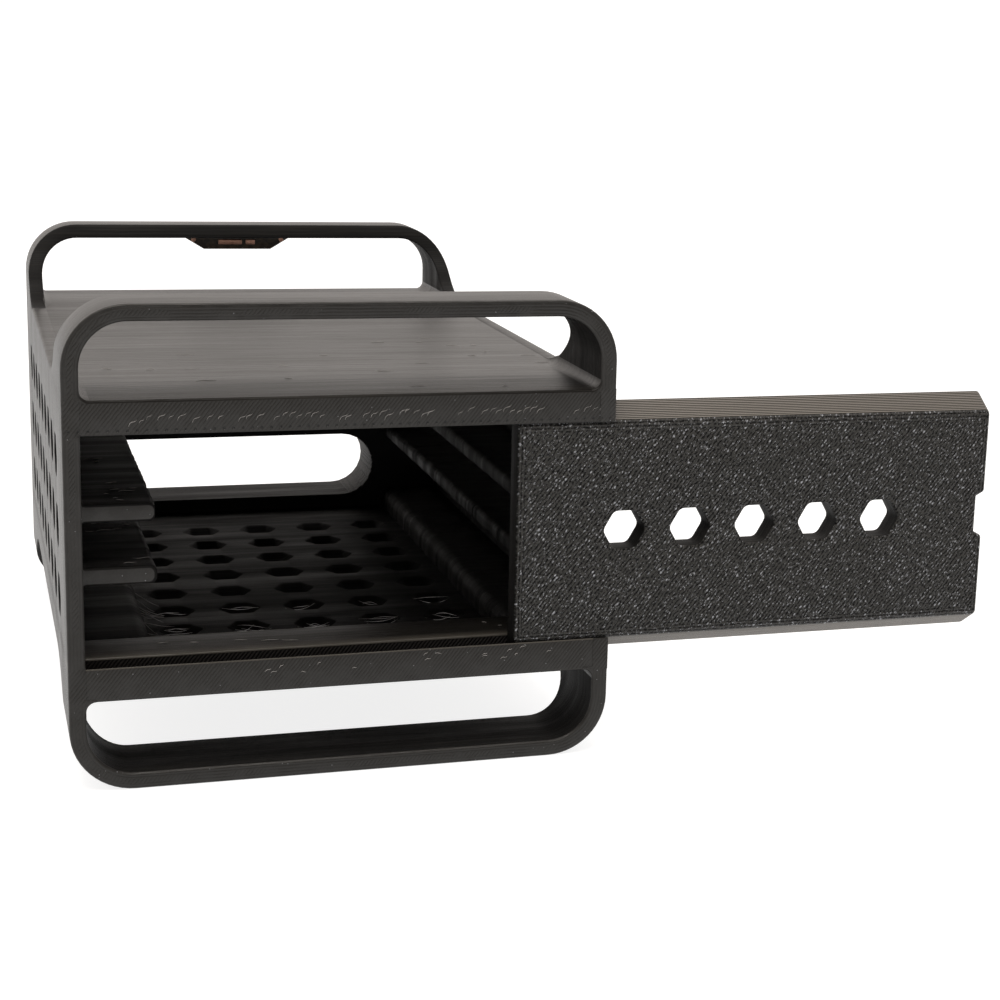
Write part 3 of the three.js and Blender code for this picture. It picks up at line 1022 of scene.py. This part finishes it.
def ringed_plastic():
    """Front of the handles, feet and walls: beads along both edges of the band, slanting ones between."""
    g = Graph("ringed_plastic")
    across = g.tree.nodes.new("ShaderNodeAttribute")
    across.attribute_name = "across"
    depth = g.math("MULTIPLY", across.outputs["Fac"], 1 / MM)
    wander = g.noise(g.place, 0.25, 1.0)
    rings = g.ridges(g.math("ADD", depth, g.math("MULTIPLY", wander, 0.15)), BEAD_PITCH)
    fill, _, _ = slanted(g, BEAD_PITCH, 0.3)
    middle = g.math("ABSOLUTE", g.math("SUBTRACT", depth, BAND / MM / 2))
    patches = g.span(g.noise(g.place, 0.15, 1.0), 0.4, 0.6)
    mix = g.math("MULTIPLY", g.span(middle, 0.3, 0.5, 1.0, 0.0), patches)
    beads = g.total(g.math("MULTIPLY", fill, mix), g.math("MULTIPLY", rings, g.math("SUBTRACT", 1.0, mix)))
    colour, rough = front_relief(g, beads, 0.05)
    return g.finish(colour, rough, 0.35)


def infill_plastic():
    """Front of the rims: slanting beads, with a row of pin holes by the lower edge."""
    g = Graph("infill_plastic")
    beads, _, _ = slanted(g, BEAD_PITCH, 0.2)
    step = 1.25
    from_hole = g.math("SUBTRACT", g.math("FRACT", g.math("DIVIDE", g.x, step)), 0.5)
    sideways = g.math("MULTIPLY", from_hole, step)
    height = g.math("SUBTRACT", g.z, LINTEL / MM + 0.75)
    squares = g.total(g.math("MULTIPLY", sideways, sideways), g.math("MULTIPLY", height, height))
    distance = g.math("SQRT", squares)
    # the pin holes are coloured near black in front_relief: painted shade
    colour, rough = front_relief(g, beads, 0.06, g.span(distance, 0.08, 0.22, 1.0, 0.0))
    return g.finish(colour, rough, 0.35)


def shaded_plastic():
    """Back of the door groove and the right ends of the rear windows: coarse slanting beads, coloured near
    black as painted shade.
    """
    g = Graph("shaded_plastic")
    beads, _, _ = slanted(g, BEAD_PITCH, 0.2)
    g.bump(g.total((beads, 0.15), (g.noise(g.place, 3.0, 3.0), 0.1)))
    return g.finish(g.blend(beads, (0.001, 0.001, 0.001), (0.012, 0.010, 0.009)), 0.6, 0.15)


def speckled_plastic():
    """Front of the door: slanting beads pressed on a grainy sheet, with bright grains all over.

    Along its borders the beads follow the outline instead.
    """
    g = Graph("speckled_plastic")
    low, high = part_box("sliding_door")
    beads, across, along = slanted(g, DOOR_BEAD_PITCH, 0.5)
    edges = [g.math("SUBTRACT", g.x, low.x / MM), g.math("SUBTRACT", high.x / MM, g.x),
             g.math("SUBTRACT", g.z, low.z / MM + 2.8), g.math("SUBTRACT", high.z / MM - 2.8, g.z)]
    nearest = edges[0]
    for edge in edges[1:]:
        nearest = g.math("MINIMUM", nearest, edge)
    border = g.span(nearest, 0.95, 1.1, 1.0, 0.0)
    rings = g.ridges(nearest, DOOR_BEAD_PITCH)
    within = g.math("SUBTRACT", 1.0, border)
    lines = g.total(g.math("MULTIPLY", rings, border), g.math("MULTIPLY", beads, within))
    laid = g.combine(across, g.math("MULTIPLY", along, 0.6), 0.0)
    grains = g.noise(laid, 3.2, 4.0, 0.75)
    crest = g.span(g.total((lines, 0.5), (g.span(grains, 0.40, 0.60), 0.5)), 0.30, 0.62)
    bright = 0.0
    for scale, share in ((2.1, 0.40), (3.3, 0.45), (4.8, 0.50)):
        spots, lot = g.cells(laid, scale)
        chosen = g.tree.nodes.new("ShaderNodeSeparateColor")
        g.feed(chosen.inputs[0], lot)
        glint = g.math("MULTIPLY", g.span(chosen.outputs[0], share, 1.0, 0.0, 1.0),
                       g.span(spots, 0.10, 0.38, 1.0, 0.0))
        bright = g.math("ADD", bright, glint)
    bright = g.math("MULTIPLY", g.math("MINIMUM", 1.0, bright), crest)
    mottle = g.span(grains, 0.42, 0.58)
    g.bump(g.total((lines, 0.12), (grains, 0.20), (bright, 0.05)))
    ground = g.math("MULTIPLY", crest, g.span(mottle, 0.0, 1.0, 0.35, 1.0))
    base = g.blend(ground, (0.001, 0.001, 0.001), (0.024, 0.0225, 0.0195))
    colour = g.blend(bright, base, SPECK)
    return g.finish(colour, g.span(bright, 0.2, 0.8, 0.5, 0.3), g.span(crest, 0.0, 1.0, 0.1, 0.4))


def edging_plastic():
    """Sides of the door: a stack of separate layers, their crests coloured cream as painted highlight and
    the gaps between them near black as painted shade.
    """
    g = Graph("edging_plastic")
    beads, streaks, _ = layers(g, LAYER_PITCH, 0.06, 0.05)
    crest = g.span(beads, 0.35, 0.75)
    # painted highlight on the layer crests, painted shade in the gaps
    colour = g.blend(crest, (0.001, 0.001, 0.001), (0.145, 0.130, 0.111))
    return g.finish(colour, g.span(streaks, 0.3, 0.7, 0.28, 0.45), g.span(crest, 0.0, 1.0, 0.0, 0.6))


def brown_board():
    """The tab under the rear handle: a dark brown board with a faint mottle."""
    g = Graph("brown_board")
    mottle = g.noise(g.place, 1.4, 3.0, 0.6)
    g.bump(g.total((mottle, 0.04), (g.noise(g.place, 7.0, 2.0), 0.01)))
    return g.finish(g.blend(g.span(mottle, 0.35, 0.65), (0.018, 0.011, 0.006), (0.055, 0.036, 0.020)), 0.42)


def hair_painted_highlight():
    """Thin strings of plastic, which look paler than the body: their pale colour is a painted highlight."""
    g = Graph("hair_painted_highlight")
    tint = g.noise(g.place, 1.5, 2.0)
    g.bump(g.total((tint, 0.01)))
    return g.finish(g.blend(tint, (0.12, 0.115, 0.11), (0.60, 0.57, 0.55)), 0.35, 0.6)


def copper():
    g = Graph("copper")
    scratches = g.noise(g.combine(g.math("MULTIPLY", g.x, 0.4), g.y, g.math("MULTIPLY", g.z, 6.0)), 2.0, 3.0)
    g.bump(g.total((scratches, 0.02)))
    g.feed(g.shader.inputs["Metallic"], 1.0)
    colour = g.blend(scratches, (0.40, 0.20, 0.14), (0.72, 0.44, 0.34))
    return g.finish(colour, g.span(scratches, 0.3, 0.7, 0.25, 0.5))


def materials():
    return [layered_plastic(), ringed_plastic(), infill_plastic(), shaded_plastic(), inside_plastic_painted_shade(),
            speckled_plastic(), edging_plastic(), brown_board(), copper(), hair_painted_highlight()]


def pale_floor():
    """A light table: it glows softly, so shadows on it stay faint."""
    g = Graph("pale_floor")
    g.bump(g.total((g.noise(g.place, 0.5, 2.0), 0.02)))
    g.shader.inputs["Emission Color"].default_value = (1, 1, 1, 1)
    g.shader.inputs["Emission Strength"].default_value = 0.82
    return g.finish((0.36, 0.36, 0.36), 0.9, 0.2)


# ---- Floor, light and camera ----
def build_stage():
    mesh = bpy.data.meshes.new("floor")
    reach = 30.0
    mesh.from_pydata([(-reach, -reach, 0), (reach, -reach, 0), (reach, reach, 0), (-reach, reach, 0)],
                     [], [(0, 1, 2, 3)])
    floor = bpy.data.objects.new("floor", mesh)
    floor.location.z = -0.01 * MM
    bpy.context.scene.collection.objects.link(floor)
    mesh.materials.append(pale_floor())


def build_light():
    """A white studio: bright above and behind, dimmer and warmer on the camera's side."""
    scene = bpy.context.scene
    scene.view_settings.view_transform = "Standard"
    world = bpy.data.worlds.new("studio")
    world.use_nodes = True
    tree = world.node_tree
    place = tree.nodes.new("ShaderNodeTexCoord")
    split = tree.nodes.new("ShaderNodeSeparateXYZ")
    tree.links.new(place.outputs["Generated"], split.inputs[0])
    parts = []
    for axis, fade in ((1, (-0.5, 0.25, 0.30, 1.14)), (2, (0.55, 1.0, 0.0, 0.5))):
        span = tree.nodes.new("ShaderNodeMapRange")
        span.interpolation_type = "SMOOTHSTEP"
        for socket, value in zip(span.inputs[1:5], fade):
            socket.default_value = value
        tree.links.new(split.outputs[axis], span.inputs[0])
        parts.append(span.outputs[0])
    total = tree.nodes.new("ShaderNodeMath")
    for socket, part in zip(total.inputs, parts):
        tree.links.new(part, socket)
    sky = tree.nodes["Background"]
    sky.inputs["Color"].default_value = (1.0, 0.94, 0.895, 1)
    tree.links.new(total.outputs[0], sky.inputs["Strength"])
    scene.world = world

    light = bpy.data.lights.new("overhead", "AREA")
    light.size = 0.5
    light.energy = 5.0
    light.color = (1.0, 0.95, 0.88)
    lamp = bpy.data.objects.new("overhead", light)
    lamp.location = (-0.08, -0.28, 0.9)
    aim = Vector((0, 0.03, 0.03)) - lamp.location
    lamp.rotation_euler = aim.to_track_quat("-Z", "Y").to_euler()
    scene.collection.objects.link(lamp)


def build_camera():
    """The camera stands a little left of the case and looks down on it, turned to the right."""
    position = Vector((-50.34, -269.94, 101.49)) * MM
    yaw, pitch, roll = 0.3219, -0.2157, 0.0336
    ahead = Vector((math.sin(yaw) * math.cos(pitch), math.cos(yaw) * math.cos(pitch), math.sin(pitch)))
    level = Vector((math.cos(yaw), -math.sin(yaw), 0))
    upright = level.cross(ahead)
    right = math.cos(roll) * level + math.sin(roll) * upright
    up = -math.sin(roll) * level + math.cos(roll) * upright
    lens = bpy.data.cameras.new("camera")
    lens.sensor_width = 36
    lens.lens = 72.51
    lens.shift_x = -0.1152
    lens.shift_y = -0.0189
    camera = bpy.data.objects.new("camera", lens)
    camera.matrix_world = Matrix((
        (right.x, up.x, -ahead.x, position.x),
        (right.y, up.y, -ahead.y, position.y),
        (right.z, up.z, -ahead.z, position.z),
        (0, 0, 0, 1)))
    bpy.context.scene.collection.objects.link(camera)
    bpy.context.scene.camera = camera


LOOKS = materials()
build_case(LOOKS)
build_door(LOOKS)
build_inlays(LOOKS)
build_stage()
build_light()
build_camera()
